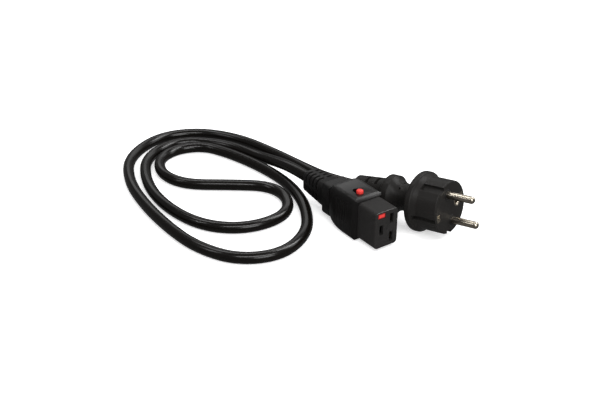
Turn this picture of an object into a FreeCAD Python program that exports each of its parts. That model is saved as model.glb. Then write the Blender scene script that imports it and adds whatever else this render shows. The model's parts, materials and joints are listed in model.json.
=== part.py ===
import FreeCAD, Part
import math
import os

from FreeCAD import Placement, Rotation, Vector

# Locking C19 appliance connector on a cord with a moulded two-pin-and-earth mains plug.
# Millimetres, +Z up, floor at z = 0. The origin lies under the middle of the connector, whose
# mating face looks along -Y. Depths into the connector are counted back from that face.

# ---- contact layout of the 16 A connector ----
contact_pitch = 13.0
earth_offset = 8.0
slot_length = 6.8
slot_width = 2.9

# ---- nose: the insulating carrier that enters the appliance inlet ----
nose_width = 18.0
nose_height = 25.5
nose_corner = 2.5
nose_reach = 17.4
nose_edge = 0.5
carrier_length = 37.0
front_wall = 2.0
mark_diameter = 1.4
mark_depth = 0.3

# ---- outer shell ----
shell_side_wall = 2.55
shell_top_wall = 2.2
shell_corner = 3.9
rim_length = 2.7
shell_length = 27.5
shell_shoulder = 6.8
shell_belly_taper = 18.0
shell_side_taper = 10.6
shell_end_wall = 1.0
shell_sections = 9
shell_step = 0.35
grip_rib_count = 5
grip_rib_pitch = 2.4
grip_rib_width = 1.1
grip_rib_height = 0.4
grip_rib_length = 14.0
grip_rib_bottom = 10.5
grip_last_rib = 11.0

# ---- rear moulding: collar and strain relief ----
collar_side_step = 0.3
collar_height = 22.4
collar_neck_side_step = 1.2
collar_neck_top_step = 1.9
collar_corner = 2.2
collar_reach = 8.6
collar_end_round = 1.5
collar_front_round = 0.6
relief_length = 24.8
relief_side_step = 0.9
relief_top_step = 1.9
relief_taper = 1.75
relief_corner = 3.8
relief_tip_round = 0.9
relief_slot_count = 4
relief_slot_pitch = 4.2
relief_slot_width = 1.9
relief_slot_depth = 2.1
relief_first_slot = 7.0
relief_spine = 2.2

# ---- release slider, spring and lock plate ----
tab_width = 5.7
tab_height = 3.4
tab_x = -3.9
tab_rise = 10.1
tab_recess = 0.2
slider_length = 28.3
slider_travel = 3.5
button_diameter = 4.6
button_round = 0.9
button_x = -1.9
button_depth = 25.0
button_rise = 1.9
spring_diameter = 2.9
spring_wire = 0.45
spring_turns = 5
spring_turn_points = 8
spring_nub_diameter = 1.8
spring_nub_length = 2.2
channel_end_wall = 1.2
plate_thickness = 0.8
plate_length = 12.2
plate_width = 4.8
plate_tilt = 16.0
plate_window_length = 6.3
plate_window_width = 2.3
plate_pivot_depth = 8.0
plate_pivot_drop = 4.1
lug_length = 1.4
lug_drop = 1.5
lug_gap = 0.3

# ---- female contacts and leads ----
strip_thickness = 0.5
leaf_width = 6.2
leaf_length = 13.0
throat_gap = 1.6
throat_depth = 3.0
flare_gap = 3.8
leaf_gap = 3.0
cavity_width = 5.4
cavity_height = 7.4
crimp_length = 6.0
crimp_diameter = 3.4
core_diameter = 2.6
conductor_diameter = 1.8
conductor_length = 4.0
bundle_radius = 1.65
bundle_reach = 16.0
lead_straight = 3.0

# ---- cord ----
cord_diameter = 7.8
exit_run = 19.5

# ---- mains plug, in its own axes: X towards the pin tips, pins along Z, earth clips along Y ----
pin_diameter = 4.8
pin_length = 19.0
pin_spacing = 19.0
pin_root = 12.0
pin_root_diameter = 5.8
pin_tip_round = 1.9
plug_diameter = 34.6
plug_edge = 0.7
plug_front_length = 17.6
plug_root_flare = 1.6
plug_flare_length = 3.0
flange_diameter = 39.6
flange_thickness = 4.6
flange_edge = 1.2
neck_diameter = 18.4
neck_length = 12.4
grip_diameter = 26.2
grip_slope = 6.4
grip_length = 5.0
grip_back = 2.6
boot_root_diameter = 19.4
boot_tip_diameter = 15.6
boot_length = 24.4
boot_edge = 1.2
boot_slot_count = 4
boot_slot_pitch = 4.0
boot_slot_width = 2.3
boot_slot_depth = 3.2
boot_first_slot = 4.2
boot_slot_angle = 50.0
guide_width = 4.8
guide_depth = 2.2
guide_angle = 19.0
guide_length = 14.5
clip_groove_width = 3.0
clip_groove_depth = 1.5
clip_groove_end = 0.4
neck_hole_diameter = 1.5
neck_hole_depth = 2.5
neck_hole_angles = (17.0, -20.0)
clip_width = 4.8
clip_radius = 15.6
clip_thickness = 0.8
clip_inner_reach = 12.2
clip_proud = 0.15
earth_hole_offset = 8.5
earth_hole_diameter = 5.0
earth_socket_diameter = 6.2
earth_socket_length = 14.0
bridge_depth = 3.0
bridge_length = 8.0
bridge_width = 9.0
bridge_height = 27.0
plug_heading = -75.0
plug_pitch = 7.4
plug_roll = 11.0
plug_face_x = 41.5
plug_face_y = -52.5

# ---- clearances ----
fit_gap = 0.05
slide_gap = 0.15

# ---- stations along the connector ----
overall_length = nose_reach + rim_length + shell_length + collar_reach + relief_length
face_y = -overall_length / 2
rim_y = face_y + nose_reach
shell_y = rim_y + rim_length
shell_end_y = shell_y + shell_length
collar_end_y = shell_end_y + collar_reach
relief_end_y = collar_end_y + relief_length
carrier_end_y = face_y + carrier_length

# ---- sections that follow from the pieces they wrap ----
shell_width = nose_width + 2 * (fit_gap + shell_side_wall)
shell_height = nose_height + 2 * (fit_gap + shell_top_wall)
collar_width = nose_width + 2 * collar_side_step
collar_neck_width = collar_width - 2 * collar_neck_side_step
collar_neck_height = collar_height - 2 * collar_neck_top_step
shell_end_width = collar_neck_width + 2 * (fit_gap + shell_end_wall)
shell_end_height = collar_neck_height + 2 * (fit_gap + shell_end_wall)
relief_root_width = collar_width - 2 * relief_side_step
relief_root_height = collar_height - 2 * relief_top_step
relief_tip_width = relief_root_width - 2 * relief_taper
relief_tip_height = relief_root_height - 2 * relief_taper
axis_z = shell_height / 2

live_row_x = earth_offset / 2
earth_x = -earth_offset / 2
contact_places = {
    "line": (live_row_x, axis_z + contact_pitch / 2),
    "neutral": (live_row_x, axis_z - contact_pitch / 2),
    "earth": (earth_x, axis_z),
}
tab_z = axis_z + tab_rise
slider_end_y = face_y + tab_recess + slider_length
channel_end_y = carrier_end_y - channel_end_wall
button_y = face_y + button_depth
plate_pivot_y = face_y + plate_pivot_depth
plate_pivot_z = axis_z - plate_pivot_drop
chamber_end_y = plate_pivot_y + plate_thickness / 2 + slide_gap * 4
cord_radius = cord_diameter / 2

# ---- stations along the plug ----
flange_front_x = -plug_front_length
flange_back_x = flange_front_x - flange_thickness
neck_end_x = flange_back_x - neck_length
grip_front_x = neck_end_x - grip_slope
grip_back_x = grip_front_x - grip_length
boot_root_x = grip_back_x - grip_back
boot_tip_x = boot_root_x - boot_length


# ---- small builders ----
def box(x0, x1, y0, y1, z0, z1):
    """Box between two opposite corners."""
    return Part.makeBox(x1 - x0, y1 - y0, z1 - z0, Vector(x0, y0, z0))


def centred_box(x, width, y0, y1, z, height):
    """Box along Y, centred on (x, z)."""
    return box(x - width / 2, x + width / 2, y0, y1, z - height / 2, z + height / 2)


def rounded_outline(width, height, radius, y):
    """Rounded rectangle across the connector's axis at station y."""
    a, c = width / 2 - radius, height / 2 - radius
    s = radius * math.sqrt(0.5)
    edges = []
    for sx, sz, swap in ((1, 1, False), (-1, 1, True), (-1, -1, False), (1, -1, True)):
        side = Vector(sx * (a + radius), y, axis_z + sz * c)
        mid = Vector(sx * (a + s), y, axis_z + sz * (c + s))
        top = Vector(sx * a, y, axis_z + sz * (c + radius))
        arc = (top, mid, side) if swap else (side, mid, top)
        edges.append(arc)
    path = []
    for i, (start, mid, end) in enumerate(edges):
        path.append(Part.Arc(start, mid, end).toShape())
        path.append(Part.makeLine(end, edges[(i + 1) % 4][0]))
    return Part.Wire(path)


def rounded_prism(width, height, radius, y0, y1):
    """Rounded rectangular bar from station y0 to station y1."""
    return Part.Face(rounded_outline(width, height, radius, y0)).extrude(Vector(0, y1 - y0, 0))


def cylinder_y(x, z, diameter, y0, y1):
    """Round bar along Y."""
    return Part.makeCylinder(diameter / 2, y1 - y0, Vector(x, y0, z), Vector(0, 1, 0))


def fillet_at_station(solid, radius, y, keep=lambda edge: True):
    """Round the edges that lie in the plane at station y."""
    edges = [e for e in solid.Edges
             if abs(e.BoundBox.YMin - y) < 0.01 and abs(e.BoundBox.YMax - y) < 0.01 and keep(e)]
    return solid.makeFillet(radius, edges)


def rounded_path(points):
    """Straight runs joined by tangent arcs as large as the runs allow; also lists the radii."""
    edges, radii = [], []
    start = points[0]
    for before, corner, after in zip(points, points[1:], points[2:]):
        back, ahead = before - corner, after - corner
        reach = 0.45 * min(back.Length, ahead.Length)
        back.normalize()
        ahead.normalize()
        half_turn = (math.pi - back.getAngle(ahead)) / 2
        radius = reach / math.tan(half_turn)
        inward = back + ahead
        inward.normalize()
        first, last = corner + back * reach, corner + ahead * reach
        middle = corner + inward * (radius / math.cos(half_turn) - radius)
        edges.append(Part.LineSegment(start, first).toShape())
        edges.append(Part.Arc(first, middle, last).toShape())
        start = last
        radii.append(radius)
    edges.append(Part.LineSegment(start, points[-1]).toShape())
    return Part.Wire(edges), radii


def tube(points, diameter):
    """Round bar swept along a rounded path; returns the solid, its path and the radii."""
    path, radii = rounded_path(points)
    direction = points[1] - points[0]
    ring = Part.Wire(Part.Circle(points[0], direction, diameter / 2).toShape())
    return path.makePipeShell([ring], True, False), path, radii


# ---- connector ----
def relief_section(depth):
    """Width and height of the strain relief at a depth behind the collar."""
    share = depth / relief_length
    return (relief_root_width + (relief_tip_width - relief_root_width) * share,
            relief_root_height + (relief_tip_height - relief_root_height) * share)


def slider_channel():
    """Room for the slider bar and its spring inside the carrier."""
    return centred_box(tab_x, tab_width + 2 * slide_gap, face_y - 1, channel_end_y,
                       tab_z, tab_height + 2 * slide_gap)


def button_slot(gap, z0, z1):
    """Obround the button travels in, from its rest place to its stop."""
    reach = button_diameter / 2 + gap
    stop_y = button_y + slider_travel
    slot = box(button_x - reach, button_x + reach, button_y, stop_y, z0, z1)
    for y in (button_y, stop_y):
        slot = slot.fuse(Part.makeCylinder(reach, z1 - z0, Vector(button_x, y, z0)))
    return slot


def plate_chamber():
    """Room in which the lock plate tilts and the slider's lug travels."""
    return box(earth_x - cavity_width / 2, earth_x + cavity_width / 2, face_y + front_wall + 0.4,
               chamber_end_y, plate_pivot_z - plate_thickness / 2 - slide_gap, tab_z)


def contact_carrier():
    """Moulded nose with the three contact slots, contact cavities and the slider channel."""
    nose = rounded_prism(nose_width, nose_height, nose_corner, face_y, carrier_end_y)
    nose = fillet_at_station(nose, nose_edge, face_y)
    for name, (x, z) in contact_places.items():
        cavity_y = chamber_end_y if name == "earth" else face_y + front_wall
        nose = nose.cut(centred_box(x, slot_width, face_y - 1, cavity_y + 1, z, slot_length))
        nose = nose.cut(centred_box(x, cavity_width, cavity_y, carrier_end_y + 1, z, cavity_height))
    nose = nose.cut(slider_channel())
    nose = nose.cut(plate_chamber())
    nose = nose.cut(button_slot(slide_gap, tab_z, axis_z + nose_height / 2 + 1))
    return nose.cut(cylinder_y(0, axis_z, mark_diameter, face_y - 1, face_y + mark_depth))


def arc_inset(y, taper, inset):
    """How far a line has come in at one station, on an arc over the shell's last stretch."""
    run = max(0, y - shell_end_y + taper)
    radius = (taper ** 2 + inset ** 2) / (2 * inset)
    return radius - math.sqrt(radius ** 2 - run ** 2)


def shell_section(y):
    """Rounded outline of the shell across one station."""
    half = shell_width / 2 - arc_inset(y, shell_side_taper, (shell_width - shell_end_width) / 2)
    end_drop = (shell_height - shell_end_height) / 2
    top = axis_z + shell_height / 2 - arc_inset(y, shell_shoulder, end_drop)
    bottom = axis_z - shell_height / 2 + arc_inset(y, shell_belly_taper, end_drop)
    near = half - shell_corner
    low = bottom + shell_corner
    high = top - shell_corner
    diagonal = shell_corner * math.sqrt(0.5)
    edges = []
    for start, turn, end in (
            ((half, low), None, (half, high)),
            ((half, high), (near + diagonal, high + diagonal), (near, top)),
            ((near, top), None, (-near, top)),
            ((-near, top), (-near - diagonal, high + diagonal), (-half, high)),
            ((-half, high), None, (-half, low)),
            ((-half, low), (-near - diagonal, low - diagonal), (-near, bottom)),
            ((-near, bottom), None, (near, bottom)),
            ((near, bottom), (near + diagonal, low - diagonal), (half, low))):
        ends = [Vector(x, y, z) for x, z in (start, end)]
        if turn:
            edges.append(Part.Arc(ends[0], Vector(turn[0], y, turn[1]), ends[1]).toShape())
        else:
            edges.append(Part.makeLine(ends[0], ends[1]))
    return Part.Wire(edges)


def shell_blank():
    """Solid shell: chamfer at the rim, straight stretch and the curved rear."""
    curve_y = shell_end_y - max(shell_side_taper, shell_shoulder, shell_belly_taper)
    stations = [curve_y + (shell_end_y - curve_y) * i / shell_sections for i in range(shell_sections + 1)]
    rear = Part.makeLoft([shell_section(y) for y in stations], True)
    front = Part.makeLoft([shell_section(y) for y in (rim_y, curve_y)], True, True)
    side = (shell_width - nose_width) / 2 - shell_step
    top = (shell_height - nose_height) / 2 - shell_step
    for direction in (-1, 1):
        side_wedge = Part.makePolygon([Vector(direction * shell_width / 2, shell_y, -1),
                                       Vector(direction * (shell_width / 2 - side), rim_y, -1),
                                       Vector(direction * (shell_width / 2 - side), rim_y - 1, -1),
                                       Vector(direction * (shell_width / 2 + 1), rim_y - 1, -1),
                                       Vector(direction * (shell_width / 2 + 1), shell_y, -1),
                                       Vector(direction * shell_width / 2, shell_y, -1)])
        front = front.cut(Part.Face(side_wedge).extrude(Vector(0, 0, shell_height + 2)))
        edge_z = axis_z + direction * shell_height / 2
        reach = -shell_width / 2 - 1
        top_wedge = Part.makePolygon([Vector(reach, shell_y, edge_z),
                                      Vector(reach, rim_y, edge_z - direction * top),
                                      Vector(reach, rim_y - 1, edge_z - direction * top),
                                      Vector(reach, rim_y - 1, edge_z + direction),
                                      Vector(reach, shell_y, edge_z + direction),
                                      Vector(reach, shell_y, edge_z)])
        front = front.cut(Part.Face(top_wedge).extrude(Vector(shell_width + 2, 0, 0)))
    return front.fuse(rear)


def outer_shell():
    """Shell around the carrier and the collar's neck, with the button slot on top."""
    blank = shell_blank().fuse(grip_ribs()).removeSplitter()
    carrier_room = rounded_prism(nose_width + 2 * fit_gap, nose_height + 2 * fit_gap,
                                 nose_corner + fit_gap, rim_y - 1, carrier_end_y + fit_gap)
    neck_room = rounded_prism(collar_neck_width + 2 * fit_gap, collar_neck_height + 2 * fit_gap,
                              collar_corner + fit_gap, carrier_end_y - 1, shell_end_y + 1)
    hollow = blank.cut(carrier_room).cut(neck_room)
    return hollow.cut(button_slot(slide_gap, axis_z, shell_height + 1))


def grip_ribs():
    """Upright finger ribs on both sides near the shell's rear."""
    ribs = []
    reach = shell_width / 2 + grip_rib_height
    for i in range(grip_rib_count):
        y = shell_end_y - grip_last_rib - i * grip_rib_pitch
        rib = box(-reach, reach, y - grip_rib_width, y, grip_rib_bottom, grip_rib_bottom + grip_rib_length)
        ends = [e for e in rib.Edges if e.BoundBox.XLength < 0.01 and e.BoundBox.YLength < 0.01]
        ribs.append(rib.makeChamfer(grip_rib_height, ends))
    return ribs[0].multiFuse(ribs[1:])


def relief_slots():
    """Ring slots of the strain relief, broken by a spine on each of its four sides."""
    rings = []
    for i in range(relief_slot_count):
        depth = relief_first_slot + i * relief_slot_pitch
        y0 = collar_end_y + depth
        y1 = y0 + relief_slot_width
        width, height = relief_section(depth + relief_slot_width / 2)
        slab = centred_box(0, width + 8, y0, y1, axis_z, height + 8)
        core = rounded_prism(width - 2 * relief_slot_depth, height - 2 * relief_slot_depth,
                             relief_corner - relief_slot_depth / 2, y0 - 1, y1 + 1)
        ring = slab.cut(core)
        ring = ring.cut(centred_box(0, relief_spine, y0 - 1, y1 + 1, axis_z, height + 9))
        ring = ring.cut(centred_box(0, width + 9, y0 - 1, y1 + 1, axis_z, relief_spine))
        rings.append(ring)
    return rings


def rear_moulding(leads):
    """Collar and slotted strain relief, moulded over the leads."""
    neck = rounded_prism(collar_neck_width, collar_neck_height, collar_corner, carrier_end_y,
                         collar_end_y - collar_end_round)
    collar = rounded_prism(collar_width, collar_height, collar_corner, shell_end_y, collar_end_y)
    collar = fillet_at_station(collar, collar_end_round, collar_end_y)
    collar = fillet_at_station(collar, collar_front_round, shell_end_y)
    root = rounded_outline(relief_root_width, relief_root_height, relief_corner,
                           collar_end_y - collar_end_round)
    tip = rounded_outline(relief_tip_width, relief_tip_height, relief_corner, relief_end_y)
    relief = Part.makeLoft([root, tip], True, True)
    relief = fillet_at_station(relief, relief_tip_round, relief_end_y)
    body = collar.fuse([neck, relief])
    for ring in relief_slots():
        body = body.cut(ring)
    for lead in leads:
        body = body.cut(lead)
    return body.removeSplitter()


def release_slider():
    """Red slider: front tab, bar, lug for the lock plate, spring nub and the button on top."""
    y0 = face_y + tab_recess
    bar = centred_box(tab_x, tab_width, y0, slider_end_y, tab_z, tab_height)
    bar = fillet_at_station(bar, 0.4, y0)
    top = shell_height + button_rise
    knob = Part.makeCylinder(button_diameter / 2, top - tab_z, Vector(button_x, button_y, tab_z))
    crown = [e for e in knob.Edges if abs(e.BoundBox.ZMin - top) < 0.01]
    knob = knob.makeFillet(button_round, crown)
    bottom_z = tab_z - tab_height / 2
    plate_top = plate_pivot_z + plate_length * math.cos(math.radians(plate_tilt))
    lean = math.tan(math.radians(plate_tilt)) * (plate_top - plate_pivot_z)
    lug_back = plate_pivot_y - lean - plate_thickness / 2 - lug_gap
    lug = centred_box(earth_x, plate_width - 0.4, lug_back - lug_length, lug_back,
                      bottom_z - lug_drop / 2, lug_drop)
    nub = cylinder_y(tab_x, tab_z, spring_nub_diameter, slider_end_y, slider_end_y + spring_nub_length)
    return bar.fuse([knob, lug, nub]).removeSplitter()


def slider_spring():
    """Compression spring between the slider and the end of its channel."""
    start_y = slider_end_y + spring_wire / 2 + fit_gap
    length = channel_end_y - slider_end_y - spring_wire - 2 * fit_gap
    point_turn = 2 * math.pi / spring_turn_points
    point_radius = (spring_diameter - spring_wire) / 2 / math.cos(point_turn / 2)
    count = spring_turns * spring_turn_points
    points = [Vector(tab_x + point_radius * math.cos(i * point_turn),
                     start_y + length * i / count,
                     tab_z + point_radius * math.sin(i * point_turn)) for i in range(count + 1)]
    ring = Part.Wire(Part.Circle(points[0], points[1] - points[0], spring_wire / 2).toShape())
    mitred = 1
    return Part.makePolygon(points).makePipeShell([ring], True, False, mitred)


def lock_plate():
    """Sprung steel plate that tilts on its foot and jams on the earth pin."""
    plate = box(earth_x - plate_width / 2, earth_x + plate_width / 2,
                plate_pivot_y - plate_thickness / 2, plate_pivot_y + plate_thickness / 2,
                plate_pivot_z, plate_pivot_z + plate_length)
    window = centred_box(earth_x, plate_window_width, plate_pivot_y - 1, plate_pivot_y + 1,
                         axis_z, plate_window_length)
    plate = plate.cut(window)
    foot = Part.makeCylinder(plate_thickness / 2, plate_width,
                             Vector(earth_x - plate_width / 2, plate_pivot_y, plate_pivot_z),
                             Vector(1, 0, 0))
    plate = plate.fuse(foot).removeSplitter()
    plate.rotate(Vector(earth_x, plate_pivot_y, plate_pivot_z), Vector(1, 0, 0), plate_tilt)
    return plate


def contact_start(name):
    """Station at which a contact's flared mouth starts."""
    return (chamber_end_y if name == "earth" else face_y + front_wall) + 2 * slide_gap


def female_contact(name):
    """Two sprung leaves bent from strip, joined by a web with a crimp barrel behind it."""
    x, z = contact_places[name]
    mouth = contact_start(name)
    half = [(flare_gap / 2, 0), (throat_gap / 2, throat_depth), (leaf_gap / 2, 2 * throat_depth),
            (leaf_gap / 2, leaf_length)]
    pieces = []
    for side in (-1, 1):
        inner = [Vector(x + side * u, mouth + v, z - leaf_width / 2) for u, v in half]
        outer = [Vector(x + side * (u + strip_thickness), mouth + v, z - leaf_width / 2)
                 for u, v in reversed(half)]
        outline = Part.makePolygon(inner + outer + inner[:1])
        pieces.append(Part.Face(outline).extrude(Vector(0, 0, leaf_width)))
    web_y = mouth + leaf_length
    pieces.append(centred_box(x, leaf_gap + 2 * strip_thickness, web_y, web_y + strip_thickness,
                              z, leaf_width))
    barrel = cylinder_y(x, z, crimp_diameter, web_y, web_y + crimp_length)
    barrel = barrel.cut(cylinder_y(x, z, conductor_diameter, web_y + crimp_length - conductor_length,
                                   web_y + crimp_length + 1))
    return barrel.multiFuse(pieces).removeSplitter()


def bundle_offset(name):
    """Place of a core in the laid-up bundle."""
    turn = {"line": 60, "neutral": -60, "earth": 180}[name]
    return (bundle_radius * math.cos(math.radians(turn)), bundle_radius * math.sin(math.radians(turn)))


def connector_lead(name):
    """Insulated core from its crimp, through the moulding, to the cord's sheath."""
    x, z = contact_places[name]
    u, v = bundle_offset(name)
    crimp_end = contact_start(name) + leaf_length + crimp_length
    points = [Vector(x, crimp_end, z), Vector(x, carrier_end_y + lead_straight, z),
              Vector(u, carrier_end_y + lead_straight + bundle_reach, axis_z + v),
              Vector(u, relief_end_y, axis_z + v)]
    core = tube(points, core_diameter)[0]
    strand = cylinder_y(x, z, conductor_diameter, crimp_end - conductor_length, crimp_end + 0.5)
    return core.fuse(strand).removeSplitter()


# ---- cord ----
def cord_points(plug_place):
    """Route of the cord on the floor, from the connector round two loops to the plug."""
    lying = cord_radius
    start = Vector(0, relief_end_y, axis_z)
    end = plug_place.multVec(Vector(boot_tip_x, 0, 0))
    lead_in = plug_place.multVec(Vector(boot_tip_x - 24, 0, 0))
    floor = [(1, 112), (-8, 143), (-34, 167), (-67, 157), (-85, 122), (-91, 84), (-84, 46),
             (-62, 25), (-32, 24), (-16, 43), (-17, 66), (-40, 84), (-61, 99), (-69, 114),
             (-69, 131), (-60, 148), (-42, 155), (-23, 148), (-14, 129), (-7, 101), (-4, 72),
             (-7, 46), (-16, 22), (-33, -2), (-60, -14), (-86, -3), (-99, 24), (-102, 54),
             (-101, 90), (-95, 127), (-79, 162), (-45, 182), (-14, 173), (6, 145), (14, 110),
             (19, 74)]
    return ([start, start + Vector(0, exit_run, 0), Vector(1, 86, 10)]
            + [Vector(x, y, lying) for x, y in floor] + [lead_in, end])


# ---- plug ----
def plug_placement():
    """Pose of the plug lying on its flange, nose up and slightly rolled."""
    turn = (Rotation(Vector(0, 0, 1), plug_heading) * Rotation(Vector(0, 1, 0), -plug_pitch)
            * Rotation(Vector(1, 0, 0), plug_roll))
    pitch = math.radians(plug_pitch)
    rest = flange_diameter / 2 * math.cos(pitch)
    face_z = rest + (plug_front_length + flange_thickness - flange_edge) * math.sin(pitch)
    return Placement(Vector(plug_face_x, plug_face_y, face_z), turn)


def revolve_x(profile):
    """Solid of revolution about the plug's axis from (x, radius) points and arc mid-points."""
    edges = []
    for kind, *pts in profile:
        pts = [Vector(x, 0, r) for x, r in pts]
        edges.append(Part.makeLine(*pts) if kind == "line" else Part.Arc(*pts).toShape())
    return Part.Face(Part.Wire(edges)).revolve(Vector(0, 0, 0), Vector(1, 0, 0), 360)


def plug_blank():
    """Turned outline of the plug: front body, flange, finger groove, grip and cord boot."""
    body, flange, edge = plug_diameter / 2, flange_diameter / 2, flange_edge
    neck, grip = neck_diameter / 2, grip_diameter / 2
    boot, tip = boot_root_diameter / 2, boot_tip_diameter / 2
    round_in = edge * (1 - math.sqrt(0.5))
    face_in = plug_edge * (1 - math.sqrt(0.5))
    neck_mid_x = (flange_back_x + neck_end_x) / 2
    return revolve_x([
        ("line", (0, 0), (0, body - plug_edge)),
        ("arc", (0, body - plug_edge), (-face_in, body - face_in), (-plug_edge, body)),
        ("line", (-plug_edge, body), (flange_front_x + plug_flare_length, body)),
        ("line", (flange_front_x + plug_flare_length, body), (flange_front_x, body + plug_root_flare)),
        ("line", (flange_front_x, body + plug_root_flare), (flange_front_x, flange - edge)),
        ("arc", (flange_front_x, flange - edge), (flange_front_x - round_in, flange - round_in),
         (flange_front_x - edge, flange)),
        ("line", (flange_front_x - edge, flange), (flange_back_x + edge, flange)),
        ("arc", (flange_back_x + edge, flange), (flange_back_x + round_in, flange - round_in),
         (flange_back_x, flange - edge)),
        ("line", (flange_back_x, flange - edge), (flange_back_x, neck + 2.4)),
        ("arc", (flange_back_x, neck + 2.4), (neck_mid_x, neck + 0.2), (neck_end_x, neck)),
        ("arc", (neck_end_x, neck), (grip_front_x + 2.2, neck + 2.0), (grip_front_x, grip)),
        ("line", (grip_front_x, grip), (grip_back_x, grip)),
        ("line", (grip_back_x, grip), (boot_root_x, boot)),
        ("line", (boot_root_x, boot), (boot_tip_x + boot_edge, tip)),
        ("line", (boot_tip_x + boot_edge, tip), (boot_tip_x, tip - boot_edge)),
        ("line", (boot_tip_x, tip - boot_edge), (boot_tip_x, 0)),
        ("line", (boot_tip_x, 0), (0, 0)),
    ])


def boot_slots():
    """Staggered slots of the cord boot: pairs in line with the pins, then pairs across them."""
    slots = []
    half = math.radians(boot_slot_angle / 2)
    reach = boot_root_diameter
    for i in range(boot_slot_count):
        x = boot_root_x - boot_first_slot - i * boot_slot_pitch
        share = (boot_root_x - x) / boot_length
        radius = (boot_root_diameter + (boot_tip_diameter - boot_root_diameter) * share) / 2
        ring = Part.makeCylinder(reach, boot_slot_width, Vector(x - boot_slot_width, 0, 0), Vector(1, 0, 0))
        ring = ring.cut(Part.makeCylinder(radius - boot_slot_depth, boot_slot_width + 2,
                                          Vector(x - boot_slot_width - 1, 0, 0), Vector(1, 0, 0)))
        wedge = Part.Face(Part.makePolygon([
            Vector(x + 1, 0, 0), Vector(x + 1, reach * math.sin(half), reach * math.cos(half)),
            Vector(x + 1, -reach * math.sin(half), reach * math.cos(half)), Vector(x + 1, 0, 0)]))
        wedge = wedge.extrude(Vector(-boot_slot_width - 2, 0, 0))
        for turn in ((0, 180) if i % 2 == 0 else (90, 270)):
            sector = wedge.copy()
            sector.rotate(Vector(0, 0, 0), Vector(1, 0, 0), turn)
            slots.append(ring.common(sector))
    return slots


def plug_pin(side):
    """Solid contact pin with a rounded tip and a ribbed root held in the bridge."""
    z = side * pin_spacing / 2
    start = Vector(-pin_root, 0, z)
    pin = Part.makeCylinder(pin_diameter / 2, pin_length + pin_root, start, Vector(1, 0, 0))
    tip = [e for e in pin.Edges if abs(e.BoundBox.XMin - pin_length) < 0.01]
    pin = pin.makeFillet(pin_tip_round, tip)
    root = Part.makeCylinder(pin_root_diameter / 2, pin_root, Vector(-pin_root, 0, z), Vector(1, 0, 0))
    barrel = Part.makeCylinder(crimp_diameter / 2, crimp_length, Vector(-pin_root - crimp_length, 0, z),
                               Vector(1, 0, 0))
    bore = Part.makeCylinder(conductor_diameter / 2, conductor_length + 1,
                             Vector(-pin_root - crimp_length - 1, 0, z), Vector(1, 0, 0))
    return pin.fuse([root, barrel]).cut(bore)


def pin_bridge():
    """Hard plastic bridge that keeps the pins apart inside the soft moulding."""
    x0 = -bridge_depth - bridge_length
    bridge = Part.makeBox(bridge_length, bridge_width, bridge_height,
                          Vector(x0, -bridge_width / 2, -bridge_height / 2))
    upright = [e for e in bridge.Edges if e.BoundBox.XLength > bridge_length - 0.01]
    bridge = bridge.makeFillet(2.5, upright)
    for side in (-1, 1):
        bridge = bridge.cut(Part.makeCylinder(pin_root_diameter / 2, bridge_length + 2,
                                              Vector(x0 - 1, 0, side * pin_spacing / 2), Vector(1, 0, 0)))
    return bridge


def strap_x():
    """Station of the earth strap's cross bar, just behind the earth socket."""
    return -earth_socket_length - clip_thickness


def earth_strap():
    """One bent strip: cross bar behind the bridge, two side arms and a folded tip on each."""
    bar_x = strap_x()
    reach = clip_radius
    strap = Part.makeBox(clip_thickness, 2 * reach, clip_width, Vector(bar_x, -reach, -clip_width / 2))
    for side in (-1, 1):
        near, far = sorted((side * reach, side * (reach - clip_thickness)))
        arm = Part.makeBox(-bar_x, far - near, clip_width, Vector(bar_x, near, -clip_width / 2))
        near, far = sorted((side * reach, side * clip_inner_reach))
        tip = Part.makeBox(clip_thickness, far - near, clip_width,
                           Vector(clip_proud - clip_thickness, near, -clip_width / 2))
        strap = strap.fuse([arm, tip])
    strap = strap.removeSplitter()
    bends = [e for e in strap.Edges if e.BoundBox.ZLength > clip_width - 0.01
             and e.BoundBox.XMin > clip_proud - 0.01
             and max(abs(e.BoundBox.YMin), abs(e.BoundBox.YMax)) > reach - 0.01]
    strap = strap.makeFillet(clip_thickness * 0.9, bends)
    return strap.removeSplitter()


def earth_socket():
    """Turned tube that takes the earth pin of a socket outlet."""
    base = Vector(-earth_socket_length, earth_hole_offset, 0)
    socket = Part.makeCylinder(earth_socket_diameter / 2, earth_socket_length - 0.4, base, Vector(1, 0, 0))
    bore = Part.makeCylinder(earth_hole_diameter / 2, earth_socket_length, base + Vector(1.5, 0, 0),
                             Vector(1, 0, 0))
    return socket.cut(bore)


def plug_lead(name):
    """Insulated core from a plug contact through the neck and boot to the cord's sheath."""
    u, v = bundle_offset(name)
    target = {"line": (0, pin_spacing / 2), "neutral": (0, -pin_spacing / 2), "earth": (-3.5, 0)}[name]
    start_x = strap_x() if name == "earth" else -pin_root - crimp_length
    turn_x = start_x - lead_straight - 2
    points = [Vector(start_x, *target), Vector(turn_x, *target),
              Vector(turn_x - bundle_reach, -u, v), Vector(boot_tip_x, -u, v)]
    core = tube(points, core_diameter)[0]
    if name == "earth":
        return core
    strand = Part.makeCylinder(conductor_diameter / 2, conductor_length + 0.5,
                               Vector(start_x - 0.5, *target), Vector(1, 0, 0))
    return core.fuse(strand).removeSplitter()


def side_grooves():
    """Guide grooves beside the pins' line and narrow clip grooves across it."""
    body = plug_diameter / 2
    start_x = flange_front_x + 0.2
    grooves = []
    for side in (-1, 1):
        guide = Part.makeBox(guide_length + 2, guide_width, guide_depth + 2,
                             Vector(-guide_length, -guide_width / 2,
                                    body - guide_depth if side > 0 else -body - 2))
        guide.rotate(Vector(0, 0, 0), Vector(1, 0, 0), side * guide_angle)
        grooves.append(guide)
        grooves.append(Part.makeBox(plug_front_length - clip_groove_end - 0.2, clip_groove_depth + 2,
                                    clip_groove_width,
                                    Vector(start_x, body - clip_groove_depth if side > 0 else -body - 2,
                                           -clip_groove_width / 2)))
    return grooves


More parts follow.
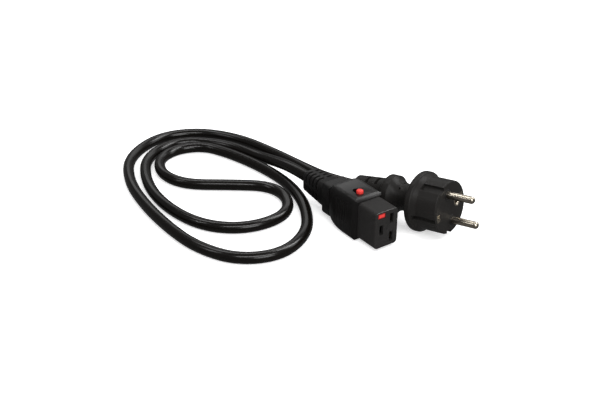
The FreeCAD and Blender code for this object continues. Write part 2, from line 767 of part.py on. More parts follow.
def neck_holes():
    """Two small holes left in the neck by the mould's locating pins."""
    holes = []
    for angle in neck_hole_angles:
        hole = Part.makeCylinder(neck_hole_diameter / 2, plug_diameter,
                                 Vector(neck_end_x, 0, neck_diameter / 2 - neck_hole_depth), Vector(0, 0, 1))
        hole.rotate(Vector(neck_end_x, 0, 0), Vector(1, 0, 0), -angle)
        holes.append(hole)
    return holes


def plug_body(inner_pieces):
    """Soft moulding of the plug with its grooves, slots and the room taken by the inner pieces."""
    body = plug_blank()
    for cutter in side_grooves() + boot_slots() + neck_holes():
        body = body.cut(cutter)
    body = body.cut(Part.makeCylinder(earth_hole_diameter / 2, 2 * earth_socket_length,
                                      Vector(-earth_socket_length + 1.5, earth_hole_offset, 0),
                                      Vector(1, 0, 0)))
    for piece in inner_pieces:
        body = body.cut(piece)
    return body


# ---- assembly ----
def build():
    """All nodes of the part by name."""
    nodes = {
        "contact_carrier": contact_carrier(),
        "outer_shell": outer_shell(),
        "release_slider": release_slider(),
        "slider_spring": slider_spring(),
        "lock_plate": lock_plate(),
    }
    leads = {name: connector_lead(name) for name in contact_places}
    for name in contact_places:
        nodes[name + "_contact"] = female_contact(name)
        nodes["connector_" + name + "_lead"] = leads[name]
    nodes["rear_moulding"] = rear_moulding(leads.values())

    place = plug_placement()
    inner = {"line_pin": plug_pin(1), "neutral_pin": plug_pin(-1), "pin_bridge": pin_bridge(),
             "earth_strap": earth_strap(), "earth_socket": earth_socket()}
    for name in contact_places:
        inner["plug_" + name + "_lead"] = plug_lead(name)
    plug = dict(inner)
    plug["plug_body"] = plug_body(inner.values())
    for name, shape in plug.items():
        shape.Placement = place
        nodes[name] = shape

    cord, path, radii = tube(cord_points(place), cord_diameter)
    nodes["power_cord"] = cord
    print("cord bend radii", ", ".join("%.0f" % r for r in radii))
    section = math.pi * cord_radius ** 2
    print("cord length %.1f, volume ratio %.4f" % (path.Length, cord.Volume / (section * path.Length)))
    return nodes


def main():
    """Write one STEP file per node."""
    os.makedirs("parts", exist_ok=True)
    for name, shape in build().items():
        solids = shape.Solids
        print("%-26s solids %d valid %s volume %.1f" % (name, len(solids), shape.isValid(), shape.Volume))
        (solids[0] if len(solids) == 1 else shape).exportStep("parts/" + name + ".step")


main()
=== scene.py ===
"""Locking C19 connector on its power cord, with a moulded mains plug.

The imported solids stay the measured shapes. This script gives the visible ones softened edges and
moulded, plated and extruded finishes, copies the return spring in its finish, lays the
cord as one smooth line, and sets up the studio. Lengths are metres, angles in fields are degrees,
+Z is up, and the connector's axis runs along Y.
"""

import json
import logging
import math
from dataclasses import dataclass
from enum import Enum

import bmesh
import bpy
from mathutils import Matrix, Vector


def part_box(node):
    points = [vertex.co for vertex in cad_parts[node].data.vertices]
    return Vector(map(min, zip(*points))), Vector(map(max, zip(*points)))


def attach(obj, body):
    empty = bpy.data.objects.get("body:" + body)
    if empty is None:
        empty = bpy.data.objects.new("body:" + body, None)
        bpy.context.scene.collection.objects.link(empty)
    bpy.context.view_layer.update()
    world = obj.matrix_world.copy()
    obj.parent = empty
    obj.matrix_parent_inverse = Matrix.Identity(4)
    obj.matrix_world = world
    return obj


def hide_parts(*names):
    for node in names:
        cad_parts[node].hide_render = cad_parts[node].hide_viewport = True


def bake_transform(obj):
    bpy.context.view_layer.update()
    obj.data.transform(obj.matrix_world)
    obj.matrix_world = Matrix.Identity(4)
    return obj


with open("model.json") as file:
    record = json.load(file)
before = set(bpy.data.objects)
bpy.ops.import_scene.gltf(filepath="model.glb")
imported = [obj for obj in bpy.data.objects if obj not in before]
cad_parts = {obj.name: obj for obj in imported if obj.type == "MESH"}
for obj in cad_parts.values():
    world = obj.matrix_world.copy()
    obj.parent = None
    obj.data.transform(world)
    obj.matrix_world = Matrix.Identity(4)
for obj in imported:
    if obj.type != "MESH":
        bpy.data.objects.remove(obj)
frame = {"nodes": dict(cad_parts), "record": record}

log = logging.getLogger("power_cord")
MM = 0.001
FULL_TURN = 2 * math.pi
WHITE = (1.0, 1.0, 1.0)

Triple = tuple[float, float, float]
Profile = tuple[tuple[float, float], ...]


class Body(str, Enum):
    """Rigid bodies that the scene's pieces ride on."""

    CONNECTOR = "connector"
    SLIDER = "slider"


def packed_mount(name: str) -> dict:
    """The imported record's mount of this name."""
    return next(m for m in frame["record"]["mounts"] if m["name"] == name)


# ---------------------------------------------------------------- shader maths
class Wire:
    """A shader socket with operators, so that node maths reads as an expression."""

    def __init__(self, shop: "NodeShop", socket: bpy.types.NodeSocket) -> None:
        """Wrap a socket.

        Args:
            shop: The workshop of the tree that holds the socket.
            socket: The output socket to wrap.
        """
        self.shop = shop
        self.socket = socket

    def apply(self, operation: str, *others: "Wire | float") -> "Wire":
        """Any Math operation on this value and the others, in that order."""
        return self.shop.maths(operation, self, *others)

    def __add__(self, other: "Wire | float") -> "Wire":
        """Sum."""
        return self.apply("ADD", other)

    __radd__ = __add__

    def __sub__(self, other: "Wire | float") -> "Wire":
        """Difference."""
        return self.apply("SUBTRACT", other)

    def __rsub__(self, other: float) -> "Wire":
        """Difference from a number."""
        return self.shop.maths("SUBTRACT", other, self)

    def __mul__(self, other: "Wire | float") -> "Wire":
        """Product."""
        return self.apply("MULTIPLY", other)

    __rmul__ = __mul__

    def between(self, low: float, high: float) -> "Wire":
        """Smooth step from 0 at low to 1 at high."""
        return self.shop.node("ShaderNodeMapRange", {"interpolation_type": "SMOOTHSTEP"},
                              {"Value": self, "From Min": low, "From Max": high})["Result"]


class NodeShop:
    """Adds nodes to one tree."""

    def __init__(self, tree: bpy.types.NodeTree) -> None:
        """Work on this tree."""
        self.tree = tree

    def node(self, kind: str, settings: dict | None = None,
             inputs: dict | None = None) -> dict[str | int, Wire]:
        """Add one node.

        Args:
            kind: The node's type name.
            settings: Properties set before anything is linked.
            inputs: Numbers, colours or wires by socket name or number.

        Returns:
            The node's outputs as wires: all by number, the enabled ones by name too.
        """
        made = self.tree.nodes.new(kind)
        for key, value in (settings or {}).items():
            setattr(made, key, value)
        for key, value in (inputs or {}).items():
            self.feed(made.inputs[key], value)
        outs: dict[str | int, Wire] = {s.name: Wire(self, s) for s in made.outputs if s.enabled}
        outs.update({i: Wire(self, s) for i, s in enumerate(made.outputs)})
        return outs

    def feed(self, socket: bpy.types.NodeSocket, value: "Wire | float | tuple") -> None:
        """Link a wire to a socket, or set the socket's own value.

        Args:
            socket: The input socket.
            value: A wire to link, or a number, vector or colour to set.
        """
        if isinstance(value, Wire):
            self.tree.links.new(value.socket, socket)
        elif isinstance(value, tuple) and len(value) == 3 and socket.type == "RGBA":
            socket.default_value = (*value, 1.0)
        else:
            socket.default_value = value

    def maths(self, operation: str, *values: "Wire | float") -> Wire:
        """Add one Math node."""
        return self.node("ShaderNodeMath", {"operation": operation}, dict(enumerate(values)))[0]


class ShaderShop(NodeShop):
    """Builds the nodes of one material.

    A Mix node keeps its sockets for numbers, vectors and colours side by side, so those for
    colours are given by number.
    """

    MIX_SHARE = 0
    MIX_LOW = 6
    MIX_HIGH = 7
    MIXED_COLOUR = 2

    def __init__(self, name: str) -> None:
        """Start a material with only its shader and output.

        Args:
            name: Name of the new material.
        """
        self.material = bpy.data.materials.new(name)
        self.material.use_nodes = True
        super().__init__(self.material.node_tree)
        self.shader = self.tree.nodes["Principled BSDF"]

    def surface(self, **inputs: "Wire | float | tuple") -> None:
        """Set the shader's sockets; underscores in the names stand for spaces."""
        for key, value in inputs.items():
            self.feed(self.shader.inputs[key.replace("_", " ")], value)

    def place(self, scale: Triple = (1.0, 1.0, 1.0)) -> Wire:
        """Object coordinates, stretched along the axes."""
        where = self.node("ShaderNodeTexCoord")["Object"]
        return self.node("ShaderNodeMapping", {}, {"Vector": where, "Scale": scale})["Vector"]

    def axes(self, where: Wire) -> dict[str | int, Wire]:
        """The X, Y and Z of a place."""
        return self.node("ShaderNodeSeparateXYZ", {}, {0: where})

    def noise(self, where: Wire, scale: float, detail: float = 3.0, rough: float = 0.5) -> Wire:
        """Fractal noise between 0 and 1."""
        return self.node("ShaderNodeTexNoise", {}, {"Vector": where, "Scale": scale, "Detail": detail,
                                                    "Roughness": rough})[0]

    def mix(self, share: "Wire | float", low: "Wire | tuple", high: "Wire | tuple") -> Wire:
        """Blend two colours."""
        return self.node("ShaderNodeMix", {"data_type": "RGBA"},
                         {self.MIX_SHARE: share, self.MIX_LOW: low, self.MIX_HIGH: high})[self.MIXED_COLOUR]

    def bump(self, height: Wire, depth: float) -> None:
        """Bump the surface by a height between 0 and 1, depth metres deep."""
        out = self.node("ShaderNodeBump", {}, {"Height": height, "Distance": depth, "Strength": 1.0})
        self.surface(Normal=out["Normal"])


# ---------------------------------------------------------------- finishes
def toned(colour: Triple, share: float) -> Triple:
    """A colour made darker or lighter by a share."""
    return tuple(min(1.0, c * share) for c in colour)


@dataclass(frozen=True)
class MouldedPlastic:
    """Textured or satin moulding: fine pebbled skin, faint flow marks and uneven sheen."""

    name: str
    colour: Triple
    roughness: float = 0.5
    sheen_spread: float = 0.1
    pebble_size: float = 0.45 * MM
    pebble_depth: float = 0.02 * MM
    shine: float = 0.2
    coat: float = 0.0
    coat_roughness: float = 0.25
    flow_stretch: Triple = (1.0, 0.35, 1.0)
    flow_scale: float = 55.0
    flow_height: float = 0.4
    darkest: float = 0.8
    lightest: float = 1.25

    def build(self) -> bpy.types.Material:
        """Make the material.

        Returns:
            The material.
        """
        shop = ShaderShop(self.name)
        where = shop.place()
        pebbles = shop.noise(where, 1.0 / self.pebble_size, detail=2.0)
        flow = shop.noise(shop.place(self.flow_stretch), self.flow_scale, detail=4.0, rough=0.6)
        paint = shop.mix(flow, toned(self.colour, self.darkest), toned(self.colour, self.lightest))
        shop.surface(Base_Color=self.shade(shop, where, paint),
                     Roughness=flow * self.sheen_spread + (self.roughness - self.sheen_spread / 2),
                     Specular_IOR_Level=self.shine, Coat_Weight=self.polish(shop, where),
                     Coat_Roughness=self.coat_roughness)
        shop.bump(pebbles + flow * self.flow_height, self.pebble_depth)
        return shop.material

    def shade(self, shop: ShaderShop, where: Wire, paint: Wire) -> Wire:
        """The plain colour; kinds with painted shade change it."""
        return paint

    def polish(self, shop: ShaderShop, where: Wire) -> "Wire | float":
        """The even coat; kinds that are smoother in places change it."""
        return self.coat


@dataclass(frozen=True)
class CarrierBlack(MouldedPlastic):
    """Textured nose whose front upper edge is smooth from the tool's parting line."""

    edge: float = 0.7 * MM
    edge_core: float = 0.3

    def polish(self, shop: ShaderShop, where: Wire) -> Wire:
        """Smooth the upper front edge.

        Args:
            shop: The material's workshop.
            where: Object coordinates.

        Returns:
            The coat over the carrier.
        """
        low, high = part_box("contact_carrier")
        axes = shop.axes(where)
        core = self.edge * self.edge_core
        top = axes["Z"].between(high[2] - self.edge, high[2] - core)
        front = 1.0 - axes["Y"].between(low[1] + core, low[1] + self.edge)
        return top * front * self.coat


@dataclass(frozen=True)
class ShellSatin(MouldedPlastic):
    """Satin shell, rubbed to a gloss where a thumb lies: on top, more towards the rear."""

    rubbed_depth: float = 3.0 * MM
    rubbed_from: float = 0.15
    rubbed_to: float = 0.85
    patch_stretch: Triple = (1.0, 0.4, 1.0)
    patch_scale: float = 120.0
    patch_spread: float = 0.3
    patch_least: float = 0.85

    def polish(self, shop: ShaderShop, where: Wire) -> Wire:
        """Gloss on the top.

        Args:
            shop: The material's workshop.
            where: Object coordinates.

        Returns:
            The coat over the shell.
        """
        low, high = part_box("outer_shell")
        length = high[1] - low[1]
        axes = shop.axes(where)
        top = axes["Z"].between(high[2] - self.rubbed_depth, high[2])
        rear = axes["Y"].between(low[1] + self.rubbed_from * length, low[1] + self.rubbed_to * length)
        patches = shop.noise(shop.place(self.patch_stretch), self.patch_scale)
        return top * rear * (patches * self.patch_spread + self.patch_least) * self.coat


@dataclass(frozen=True)
class SliderRed(MouldedPlastic):
    """Signal red, with painted shade: a deeper red in the soft border round the tab's face stands for the
    shade of its rounded edge.
    """

    # painted shade: the deeper red that the border of the tab's face is blended to
    painted_border_shade: Triple = (0.2, 0.01, 0.01)
    border: float = 1.2 * MM
    border_core: float = 0.1
    tab_x: float = -3.9 * MM
    tab_z: float = 25.1 * MM
    tab_width: float = 5.7 * MM
    tab_height: float = 3.4 * MM
    face_full: float = 1.0 * MM
    face_end: float = 1.5 * MM

    def shade(self, shop: ShaderShop, where: Wire, paint: Wire) -> Wire:
        """Paint the shade of the rounded edge into the border of the tab's face.

        Args:
            shop: The material's workshop.
            where: Object coordinates.
            paint: The plain red.

        Returns:
            The red with its painted border shade.
        """
        face_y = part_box("release_slider")[0][1]
        axes = shop.axes(where)
        aside = (axes["X"] - self.tab_x).apply("ABSOLUTE") - self.tab_width / 2
        above = (axes["Z"] - self.tab_z).apply("ABSOLUTE") - self.tab_height / 2
        inside = aside.apply("SMOOTH_MAX", above, self.border) * -1.0
        # painted shade: the rim of the tab's face is darkened as if its rounded edge were turned from the
        # light
        shaded_rim = 1.0 - inside.between(self.border_core * self.border, self.border)
        front = 1.0 - axes["Y"].between(face_y + self.face_full, face_y + self.face_end)
        return shop.mix(shaded_rim * front, paint, self.painted_border_shade)


@dataclass(frozen=True)
class CordSheath:
    """Extruded PVC sheath: soft gloss with a slight waviness and a fine skin."""

    name: str
    colour: Triple
    roughness: float = 0.21
    shine: float = 0.32
    darkest: float = 0.75
    lightest: float = 1.3
    wave_scale: float = 90.0
    wave_height: float = 0.8
    wave_sheen: float = 0.04
    skin_scale: float = 1800.0
    skin_height: float = 0.2
    skin_depth: float = 0.008 * MM

    def build(self) -> bpy.types.Material:
        """Make the material.

        Returns:
            The material.
        """
        shop = ShaderShop(self.name)
        where = shop.place()
        waves = shop.noise(where, self.wave_scale, detail=2.0)
        skin = shop.noise(where, self.skin_scale, detail=2.0)
        shop.surface(Base_Color=shop.mix(waves, toned(self.colour, self.darkest),
                                         toned(self.colour, self.lightest)),
                     Roughness=waves * self.wave_sheen + (self.roughness - self.wave_sheen / 2),
                     Specular_IOR_Level=self.shine)
        shop.bump(waves * self.wave_height + skin * self.skin_height, self.skin_depth)
        return shop.material


@dataclass(frozen=True)
class PlatedMetal:
    """Turned or stamped metal with fine tool lines and light handling marks."""

    name: str
    colour: Triple
    roughness: float
    line_pitch: float
    line_axis: Triple
    dullest: float = 0.82
    jitter_scale: float = 260.0
    jitter_turn: float = 9.0
    mark_scale: float = 700.0
    line_sheen: float = 0.02
    mark_sheen: float = 0.03
    mark_depth: float = 0.0015 * MM

    def build(self) -> bpy.types.Material:
        """Make the material.

        Returns:
            The material.
        """
        shop = ShaderShop(self.name)
        where = shop.place()
        along = shop.node("ShaderNodeVectorMath", {"operation": "DOT_PRODUCT"},
                          {0: where, 1: self.line_axis})["Value"]
        jitter = shop.noise(where, self.jitter_scale)
        turns = along * (FULL_TURN / self.line_pitch) + jitter * self.jitter_turn
        lines = turns.apply("SINE") * 0.5 + 0.5
        marks = shop.noise(where, self.mark_scale, detail=4.0, rough=0.65)
        paint = shop.mix(jitter, toned(self.colour, self.dullest), self.colour)
        sheen = lines * self.line_sheen + marks * self.mark_sheen + (self.roughness - self.line_sheen)
        shop.surface(Base_Color=paint, Metallic=1.0, Roughness=sheen)
        shop.bump(lines * 0.5 + marks * 0.5, self.mark_depth)
        return shop.material


@dataclass(frozen=True)
class StripedInsulation:
    """Core insulation, in one colour or with stripes of a second."""

    name: str
    colour: Triple
    stripe: Triple | None = None
    pitch: float = 5.0 * MM
    lean: float = 0.5
    stripe_edge: float = 0.1
    cloud_scale: float = 400.0
    darkest: float = 0.85
    roughness: float = 0.3
    sheen_spread: float = 0.1
    cloud_depth: float = 0.01 * MM

    def build(self) -> bpy.types.Material:
        """Make the material.

        Returns:
            The material.
        """
        shop = ShaderShop(self.name)
        where = shop.place()
        cloud = shop.noise(where, self.cloud_scale)
        base = shop.mix(cloud, toned(self.colour, self.darkest), self.colour)
        if self.stripe is not None:
            axes = shop.axes(where)
            wave = ((axes["X"] + axes["Z"] * self.lean) * (FULL_TURN / self.pitch)).apply("SINE")
            base = shop.mix(wave.between(-self.stripe_edge, self.stripe_edge), base, self.stripe)
        shop.surface(Base_Color=base, Roughness=cloud * self.sheen_spread + self.roughness)
        shop.bump(cloud, self.cloud_depth)
        return shop.material


PIN_AXIS: Triple = tuple(packed_mount("plug_line_pin")["axis"])
FINISHES: dict[str, MouldedPlastic | CordSheath | PlatedMetal | StripedInsulation] = {
    "nose_plastic": CarrierBlack("textured_black", (0.0175, 0.0166, 0.0163), roughness=0.46,
                                 sheen_spread=0.12, pebble_size=0.4 * MM, pebble_depth=0.016 * MM,
                                 shine=0.09, coat=0.8, coat_roughness=0.2),
    "shell_plastic": ShellSatin("satin_black", (0.0055, 0.0051, 0.005), roughness=0.3,
                                sheen_spread=0.1, pebble_size=0.5 * MM, pebble_depth=0.012 * MM,
                                shine=0.16, coat=0.55, coat_roughness=0.3),
    "moulded_pvc": MouldedPlastic("soft_black", (0.0075, 0.007, 0.007), roughness=0.38,
                                  sheen_spread=0.12, pebble_size=0.6 * MM, shine=0.2),
    "plug_pvc": MouldedPlastic("plug_black", (0.0125, 0.0117, 0.011), roughness=0.38,
                               sheen_spread=0.12, pebble_size=0.6 * MM, shine=0.11),
    "bridge_plastic": MouldedPlastic("bridge_black", (0.02, 0.02, 0.02), roughness=0.5),
    "red_plastic": SliderRed("signal_red", (0.58, 0.035, 0.030), roughness=0.3, sheen_spread=0.06,
                             pebble_size=0.8 * MM, pebble_depth=0.006 * MM, shine=0.2, coat=0.05),
    "cord_sheath": CordSheath("cord_black", (0.0033, 0.0027, 0.0022)),
    "nickel_plate": PlatedMetal("nickel", (0.52, 0.47, 0.39), roughness=0.24,
                                line_pitch=0.14 * MM, line_axis=PIN_AXIS),
    # painted shade: brass hue darkened far below its own colour, so that the contacts look shaded deep
    # inside their slots
    "contact_brass": PlatedMetal("shaded_brass_strip", (0.2, 0.145, 0.08), roughness=0.36,
                                 line_pitch=0.3 * MM, line_axis=(0.0, 0.0, 1.0)),
    "spring_steel": PlatedMetal("spring_steel", (0.50, 0.50, 0.51), roughness=0.26,
                                line_pitch=0.1 * MM, line_axis=(0.0, 1.0, 0.0)),
    "brown_insulation": StripedInsulation("brown_core", (0.16, 0.06, 0.025)),
    "blue_insulation": StripedInsulation("blue_core", (0.03, 0.16, 0.42)),
    "earth_insulation": StripedInsulation("earth_core", (0.08, 0.34, 0.06), stripe=(0.75, 0.62, 0.05)),
}


class PaintShop:
    """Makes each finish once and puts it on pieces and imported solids."""

    def __init__(self) -> None:
        """Start with no material made."""
        self.made: dict[str, bpy.types.Material] = {}
        self.slots = {s["node"]: s["material_slot"] for s in frame["record"]["subparts"]}

    def finish(self, slot: str) -> bpy.types.Material:
        """The material of a slot.

        Args:
            slot: Name of the slot.

        Returns:
            Its material, which is made at its first use.
        """
        if slot not in self.made:
            self.made[slot] = FINISHES[slot].build()
        return self.made[slot]

    def dress(self, piece: bpy.types.Object, slot: str) -> None:
        """Give a piece the finish of a slot."""
        piece.data.materials.clear()
        piece.data.materials.append(self.finish(slot))

    def dress_nodes(self) -> None:
        """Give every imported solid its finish."""
        for name, solid in frame["nodes"].items():
            self.dress(solid, self.slots[name])


# ---------------------------------------------------------------- pieces
def put_in_scene(name: str, data: bpy.types.ID) -> bpy.types.Object:
    """Add an object to the scene, at the origin.

    Args:
        name: Name of the object.
        data: Its mesh, curve, lamp or camera.

    Returns:
        The new object.
    """
    piece = bpy.data.objects.new(name, data)
    bpy.context.scene.collection.objects.link(piece)
    return piece


def as_mesh(shape: bmesh.types.BMesh, name: str, sharp: float) -> bpy.types.Mesh:
    """Turn a finished shape into a mesh with smooth faces.

    Args:
        shape: The finished shape, which is freed.
        name: Name of the mesh.
        sharp: Angle in radians from which an edge stays sharp.

    Returns:
        The mesh.
    """
    mesh = bpy.data.meshes.new(name)
    shape.to_mesh(mesh)
    shape.free()
    for face in mesh.polygons:
        face.use_smooth = True
    mesh.set_sharp_from_angle(angle=sharp)
    return mesh


@dataclass
class SoftenedSolid:
    """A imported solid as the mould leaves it: the same faces with rounded, light-catching edges."""

    node: str
    body: Body
    edge: float
    segments: int = 2
    sharp: float = 32.0
    finish: str = ""
    same_place: float = 0.002 * MM
    same_plane: float = 0.6

    def build(self, paint: PaintShop) -> bpy.types.Object:
        """Make the piece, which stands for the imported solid.

        Args:
            paint: The finishes.

        Returns:
            The new object.
        """
        source = frame["nodes"][self.node]
        shape = bmesh.new()
        shape.from_mesh(source.data)
        bmesh.ops.remove_doubles(shape, verts=shape.verts, dist=self.same_place)
        bmesh.ops.dissolve_limit(shape, angle_limit=math.radians(self.same_plane), verts=shape.verts,
                                 edges=shape.edges)
        limit = math.radians(self.sharp)
        corners = [e for e in shape.edges if len(e.link_faces) == 2 and e.calc_face_angle(0.0) > limit]
        bmesh.ops.bevel(shape, geom=corners, offset=self.edge, offset_type="OFFSET", segments=self.segments,
                        profile=0.5, affect="EDGES", clamp_overlap=True, material=-1)
        name = self.node + "_moulded"
        piece = put_in_scene(name, as_mesh(shape, name, limit))
        slot = paint.slots[self.node]
        paint.dress(piece, self.finish or slot)
        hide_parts(self.node)
        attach(piece, self.body.value)
        return piece


@dataclass
class PressedSpring:
    """The return spring, as a copy of the imported one in its finish."""

    node: str = "slider_spring"

    def build(self, paint: PaintShop) -> bpy.types.Object:
        """Make the piece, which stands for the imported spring.

        Args:
            paint: The finishes.

        Returns:
            The new object.
        """
        slot = paint.slots[self.node]
        piece = put_in_scene(self.node + "_coil", frame["nodes"][self.node].data.copy())
        paint.dress(piece, slot)
        low, high = (Vector(corner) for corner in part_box(self.node))
        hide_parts(self.node)
        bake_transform(piece)
        return piece


@dataclass
class FaceRing:
    """A turned ring standing on the plug's face, round a pin or in the mouth of a bore.

    The profile gives radius and height over the face, in millimetres.
    """

    mount: str
    slot: str
    profile: Profile
    steps: int = 48
    sharp: float = 50.0

    def build(self, paint: PaintShop) -> bpy.types.Object:
        """Turn the ring and set it on the face.

        Args:
            paint: The finishes.

        Returns:
            The new object.
        """
        place = packed_mount(self.mount)
        axis = Vector(place["axis"])
        outward = -1.0 if place["kind"] == "pin" else 1.0
        foot = Vector(place["pos_m"]) + axis * (outward * place["dims"]["length_mm"] * MM / 2)
        ring = bmesh.new()
        corners = [ring.verts.new((radius * MM, 0.0, height * MM)) for radius, height in self.profile]
        for start, end in zip(corners, corners[1:] + corners[:1]):
            ring.edges.new((start, end))
        bmesh.ops.spin(ring, geom=ring.verts[:] + ring.edges[:], cent=(0.0, 0.0, 0.0), axis=(0.0, 0.0, 1.0),
                       angle=FULL_TURN, steps=self.steps, use_merge=True, dvec=(0.0, 0.0, 0.0))
        bmesh.ops.recalc_face_normals(ring, faces=ring.faces)
        turn = axis.to_track_quat("Z", "Y").to_matrix().to_4x4()
        bmesh.ops.transform(ring, matrix=Matrix.Translation(foot) @ turn, verts=ring.verts)
        name = self.mount + "_ring"
        piece = put_in_scene(name, as_mesh(ring, name, math.radians(self.sharp)))
        paint.dress(piece, self.slot)
        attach(piece, Body.CONNECTOR.value)
        return piece


# ---------------------------------------------------------------- sub-assemblies
@dataclass
class Connector:
    """The connector's mouldings, its red slider and the spring behind it."""

    carrier_edge: float = 0.18 * MM
    shell_edge: float = 0.3 * MM
    relief_edge: float = 0.2 * MM
    slider_edge: float = 0.4 * MM
    slider_segments: int = 3

    def build(self, paint: PaintShop) -> list[bpy.types.Object]:
        """Make the connector's visible pieces and its spring.

        Args:
            paint: The finishes.

        Returns:
            The new objects.
        """
        parts = (
            SoftenedSolid("contact_carrier", Body.CONNECTOR, self.carrier_edge),
            SoftenedSolid("outer_shell", Body.CONNECTOR, self.shell_edge),
            SoftenedSolid("rear_moulding", Body.CONNECTOR, self.relief_edge),
            SoftenedSolid("release_slider", Body.SLIDER, self.slider_edge, self.slider_segments),
            PressedSpring())
        return [part.build(paint) for part in parts]


@dataclass
class Plug:
    """The moulded plug and the rings on its face; the collars and the mouth are profiles in millimetres."""

    body_edge: float = 0.15 * MM
    body_sharp: float = 20.0
    pin_collar: Profile = ((2.42, -0.3), (3.5, -0.3), (3.5, 0.15), (3.3, 0.32), (2.6, 0.32), (2.42, 0.22))
    earth_mouth: Profile = ((2.1, -1.3), (2.46, -1.3), (2.46, 0.27), (3.7, 0.27), (3.75, 0.37), (3.6, 0.5),
                            (3.0, 0.46), (2.5, 0.2), (2.15, -0.4))

    def build(self, paint: PaintShop) -> list[bpy.types.Object]:
        """Make the plug's body and rings.

        Args:
            paint: The finishes.

        Returns:
            The new objects.
        """
        parts = (
            SoftenedSolid("plug_body", Body.CONNECTOR, self.body_edge, sharp=self.body_sharp,
                          finish="plug_pvc"),
            FaceRing("plug_line_pin", "moulded_pvc", self.pin_collar),
            FaceRing("plug_neutral_pin", "moulded_pvc", self.pin_collar),
            FaceRing("plug_earth_bore", "nickel_plate", self.earth_mouth))
        return [part.build(paint) for part in parts]

    def solids(self) -> list[str]:
        """The plug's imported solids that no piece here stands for."""
        return [node for node in frame["record"]["physics"]["cord_nodes"]
                if node not in ("plug_body", "power_cord")]


@dataclass
class PowerCord:
    """The round cord, from the connector round its loops to the plug, as one smooth line.

    The route's points are millimetres, and those of the floor run lie half a cord above it.
    """

    diameter: float = 7.8 * MM
    length: float = 1.150
    lying: float = 3.9
    start: Triple = (0.0, 40.5, 15.0)
    lead_out: tuple[Triple, ...] = ((0.0, 60.0, 15.0), (1.0, 86.0, 10.0))
    floor: Profile = (
        (1, 112), (-8, 143), (-34, 167), (-67, 157), (-85, 122), (-91, 84), (-84, 46), (-62, 25),
        (-32, 24), (-16, 43), (-17, 66), (-40, 84), (-61, 99), (-69, 114), (-69, 131), (-60, 148),
        (-42, 155), (-23, 148), (-14, 129), (-7, 101), (-4, 72), (-7, 46), (-16, 22), (-33, -2),
        (-60, -14), (-86, -3), (-99, 24), (-102, 54), (-101, 90), (-95, 127), (-79, 162),
        (-45, 182), (-14, 173), (6, 145), (14, 110), (19, 74))
    lead_in: tuple[Triple, ...] = ((16.6, 40.4, 9.9), (22.76, 17.43, 12.94))
    round_steps: int = 8
    run_steps: int = 10

    def points(self) -> list[Vector]:
        """Control points of the cord's line, in metres."""
        flat = [(x, y, self.lying) for x, y in self.floor]
        return [Vector(p) * MM for p in (self.start, *self.lead_out, *flat, *self.lead_in)]

    def build(self, paint: PaintShop, on_cord: list[bpy.types.Object | str]) -> bpy.types.Object:
        """Lay the cord.

        Args:
            paint: The finishes.
            on_cord: The plug's pieces; not used.

        Returns:
            The cord's curve object.
        """
        curve = bpy.data.curves.new("cord", "CURVE")
        curve.dimensions = "3D"
        curve.bevel_depth = self.diameter / 2
        curve.bevel_resolution = self.round_steps
        curve.resolution_u = self.run_steps
        curve.use_fill_caps = True
        spline = curve.splines.new("NURBS")
        points = self.points()
        spline.points.add(len(points) - 1)
        for spot, point in zip(spline.points, points):
            spot.co = (*point, 1.0)
        spline.order_u = 3
        spline.use_endpoint_u = True
        spline.use_smooth = True
        cord = put_in_scene("cord", curve)
        paint.dress(cord, "cord_sheath")
        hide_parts("power_cord")
        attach(cord, Body.CONNECTOR.value)
        return cord


# ---------------------------------------------------------------- studio
@dataclass(frozen=True)
class Lamp:
    """A soft rectangular lamp, aimed at a point."""

    name: str
    spot: Triple
    target: Triple
    size: tuple[float, float]
    power: float

    def hang(self) -> None:
        """Add the lamp to the scene."""
        data = bpy.data.lights.new(self.name, "AREA")
        data.shape = "RECTANGLE"
        data.size, data.size_y = self.size
        data.energy = self.power
        lamp = put_in_scene(self.name, data)
        lamp.location = self.spot
        lamp.rotation_euler = (Vector(self.target) - Vector(self.spot)).to_track_quat("-Z", "Y").to_euler()


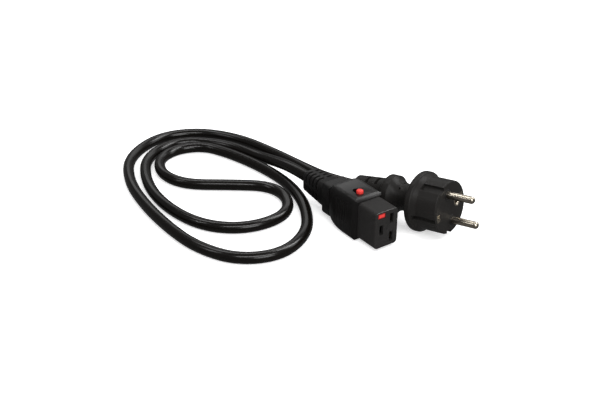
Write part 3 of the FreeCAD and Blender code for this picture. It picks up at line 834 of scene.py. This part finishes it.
@dataclass
class Studio:
    """White floor, soft lamps and the camera."""

    eye: Triple = (-0.3347, -0.4267, 0.3153)
    heading: float = 55.11
    look_down: float = 28.85
    lens: float = 57.0
    sensor: float = 36.0
    nearest: float = 0.01
    floor_size: float = 6.0
    floor_drop: float = 0.05 * MM
    floor_paint: Triple = (0.86, 0.86, 0.86)
    floor_roughness: float = 0.9
    floor_glow: float = 0.5
    room_light: float = 0.35
    room_mirrored: float = 0.15
    lamps: tuple[Lamp, ...] = (
        Lamp("rear_softbox", (0.42, 0.62, 0.46), (-0.02, 0.02, 0.02), (1.1, 0.22), 0.9),
        Lamp("back_strip", (0.12, 0.42, 0.84), (-0.02, 0.05, 0.0), (0.9, 0.16), 2.8),
        Lamp("front_strip", (-0.24, -0.5, 0.7), (-0.03, 0.02, 0.0), (0.9, 0.14), 4.2),
        Lamp("left_strip", (-0.6, 0.2, 0.55), (-0.02, 0.02, 0.02), (0.05, 0.3), 0.5),
        Lamp("front_fill", (-0.16, -0.85, 0.4), (0.0, 0.0, 0.02), (0.5, 0.3), 3.4),
        Lamp("edge_strip", (0.42, -0.04, 0.6), (0.0, -0.03, 0.02), (0.14, 0.45), 2.5),
        Lamp("right_strip", (0.6, -0.25, 0.4), (0.03, -0.03, 0.02), (0.25, 0.7), 1.5))

    def camera(self) -> None:
        """Place the camera."""
        data = bpy.data.cameras.new("camera")
        data.lens = self.lens
        data.sensor_width = self.sensor
        data.clip_start = self.nearest
        camera = put_in_scene("camera", data)
        turn = Matrix.Rotation(math.radians(self.heading - 90.0), 4, "Z")
        tip = Matrix.Rotation(math.radians(90.0 - self.look_down), 4, "X")
        camera.matrix_world = Matrix.Translation(self.eye) @ turn @ tip
        bpy.context.scene.camera = camera

    def floor(self) -> None:
        """Pale floor that keeps the shadow: it glows white to the lens and is dim in reflections."""
        plane = bmesh.new()
        bmesh.ops.create_grid(plane, x_segments=1, y_segments=1, size=self.floor_size / 2)
        mesh = bpy.data.meshes.new("floor")
        plane.to_mesh(mesh)
        plane.free()
        floor = put_in_scene("floor", mesh)
        floor.location.z = -self.floor_drop
        shop = ShaderShop("studio_floor")
        shop.surface(Base_Color=self.floor_paint, Roughness=self.floor_roughness, Specular_IOR_Level=0.0)
        lit = Wire(shop, shop.shader.outputs[0])
        path = shop.node("ShaderNodeLightPath")
        glow = shop.node("ShaderNodeEmission", {}, {"Color": WHITE, "Strength": self.floor_glow})
        glowing = shop.node("ShaderNodeAddShader", {}, {0: lit, 1: glow[0]})
        plain = shop.node("ShaderNodeMixShader", {}, {0: path["Is Camera Ray"], 1: lit, 2: glowing[0]})
        dim = shop.node("ShaderNodeEmission", {}, {"Color": WHITE, "Strength": self.room_mirrored})
        blend = shop.node("ShaderNodeMixShader", {}, {0: path["Is Glossy Ray"], 1: plain[0], 2: dim[0]})
        shop.feed(shop.tree.nodes["Material Output"].inputs["Surface"], blend[0])
        mesh.materials.append(shop.material)

    def world(self) -> None:
        """White surroundings for the lens, gentler as light and in reflections."""
        world = bpy.data.worlds.new("studio")
        world.use_nodes = True
        shop = NodeShop(world.node_tree)
        path = shop.node("ShaderNodeLightPath")
        unseen = shop.node("ShaderNodeMapRange", {},
                           {"Value": path["Is Glossy Ray"], "To Min": self.room_light,
                            "To Max": self.room_mirrored})
        level = shop.node("ShaderNodeMapRange", {}, {"Value": path["Is Camera Ray"], "To Min": unseen[0]})
        back = shop.tree.nodes["Background"]
        shop.feed(back.inputs["Color"], WHITE)
        shop.feed(back.inputs["Strength"], level[0])
        bpy.context.scene.world = world

    def build(self) -> None:
        """Set up everything round the object."""
        self.camera()
        self.floor()
        self.world()
        for lamp in self.lamps:
            lamp.hang()
        bpy.context.scene.view_settings.view_transform = "Standard"


def main() -> None:
    """Build the studio, dress the solids, and make the connector, the plug and the cord."""
    logging.basicConfig(level=logging.INFO, format="%(name)s: %(message)s")
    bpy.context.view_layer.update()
    Studio().build()
    paint = PaintShop()
    paint.dress_nodes()
    connector = Connector().build(paint)
    plug = Plug()
    plug_pieces = plug.build(paint)
    cord = PowerCord().build(paint, plug_pieces + plug.solids())
    for piece in (*connector, *plug_pieces, cord):
        log.info("made %s", piece.name)


if __name__ == "__main__":
    main()
